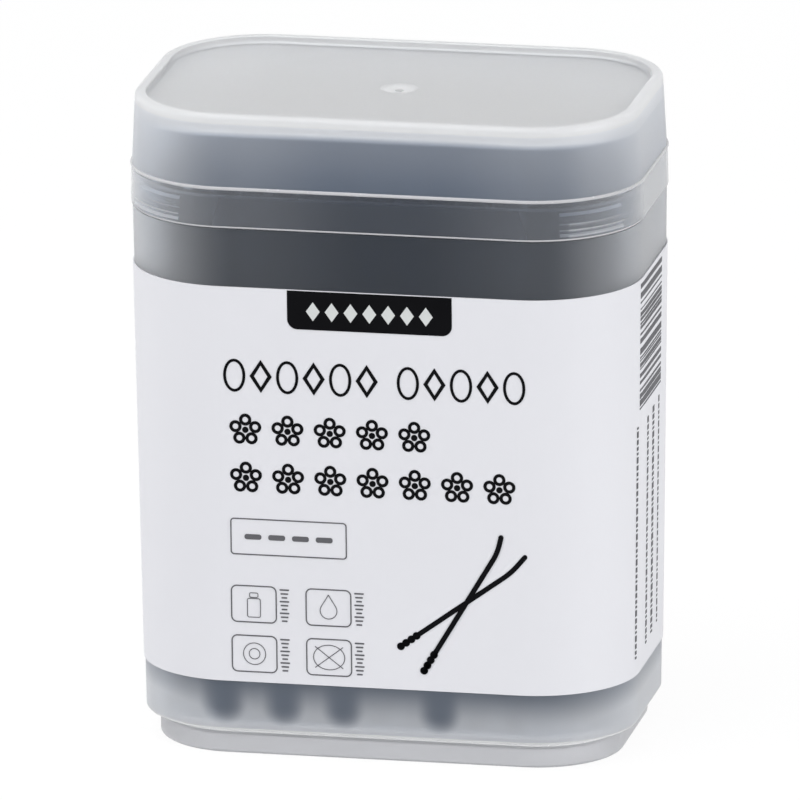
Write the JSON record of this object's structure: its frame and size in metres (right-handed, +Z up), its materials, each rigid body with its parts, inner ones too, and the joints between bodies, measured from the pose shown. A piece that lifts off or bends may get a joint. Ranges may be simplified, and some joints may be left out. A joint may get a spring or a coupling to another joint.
{
  "type": "cotton swab box",
  "caption": "Frosted rounded-rectangular swab box with a lift-off snap lid, a plain wrap-round label and black paper swabs standing inside.",
  "frame": {"origin": "centre of the base, on the surface that the box stands on", "axes": "+Z up, -Y out of the wide front face, +X to the right of the front"},
  "size_m": [0.0668, 0.043, 0.0853],
  "materials": {
    "frosted_body": "frosted translucent polypropylene",
    "frosted_lid": "frosted translucent polypropylene",
    "label_paper": "white coated label, satin",
    "black_paper": "black rolled paper",
    "black_cotton": "black wound cotton, matt"
  },
  "bodies": {
    "box": {"body_shell": "frosted_body", "label": "label_paper", "sticks_row_1": "black_paper", "sticks_row_2": "black_paper", "sticks_row_3": "black_paper", "sticks_row_4": "black_paper", "sticks_row_5": "black_paper", "sticks_row_6": "black_paper", "sticks_row_7": "black_paper", "cotton_row_1": "black_cotton", "cotton_row_2": "black_cotton", "cotton_row_3": "black_cotton", "cotton_row_4": "black_cotton", "cotton_row_5": "black_cotton", "cotton_row_6": "black_cotton", "cotton_row_7": "black_cotton"},
    "lid": {"lid": "frosted_lid"}
  },
  "joints": [
    {"name": "lid_lift", "type": "slide", "parent": "box", "child": "lid", "axis": [0, 0, 1], "range_m": [0, 0.025]}
  ]
}
